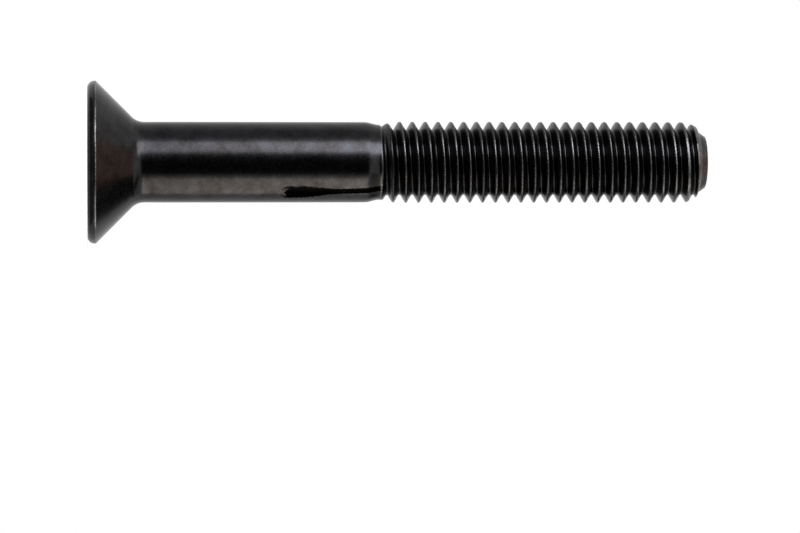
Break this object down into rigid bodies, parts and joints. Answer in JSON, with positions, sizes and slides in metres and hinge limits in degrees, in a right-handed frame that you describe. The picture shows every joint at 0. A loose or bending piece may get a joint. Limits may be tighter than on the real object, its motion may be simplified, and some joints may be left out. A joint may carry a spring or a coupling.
{
  "type": "countersunk socket screw",
  "caption": "Metric countersunk screw with a hexagon socket, plain shank, necked run-out and coarse-threaded, chamfered end.",
  "frame": {"origin": "centre of the flat face of the head, which the screw stands on", "axes": "+Z along the screw's axis, from the head's face to the threaded point; +X points to a corner of the hexagon socket and +Y to the middle of a flat"},
  "size_m": [0.0156, 0.0156, 0.06],
  "materials": {
    "black_steel": "black-oxided, lightly oiled"
  },
  "bodies": {
    "root": {"countersunk_screw": "black_steel"}
  },
  "joints": []
}
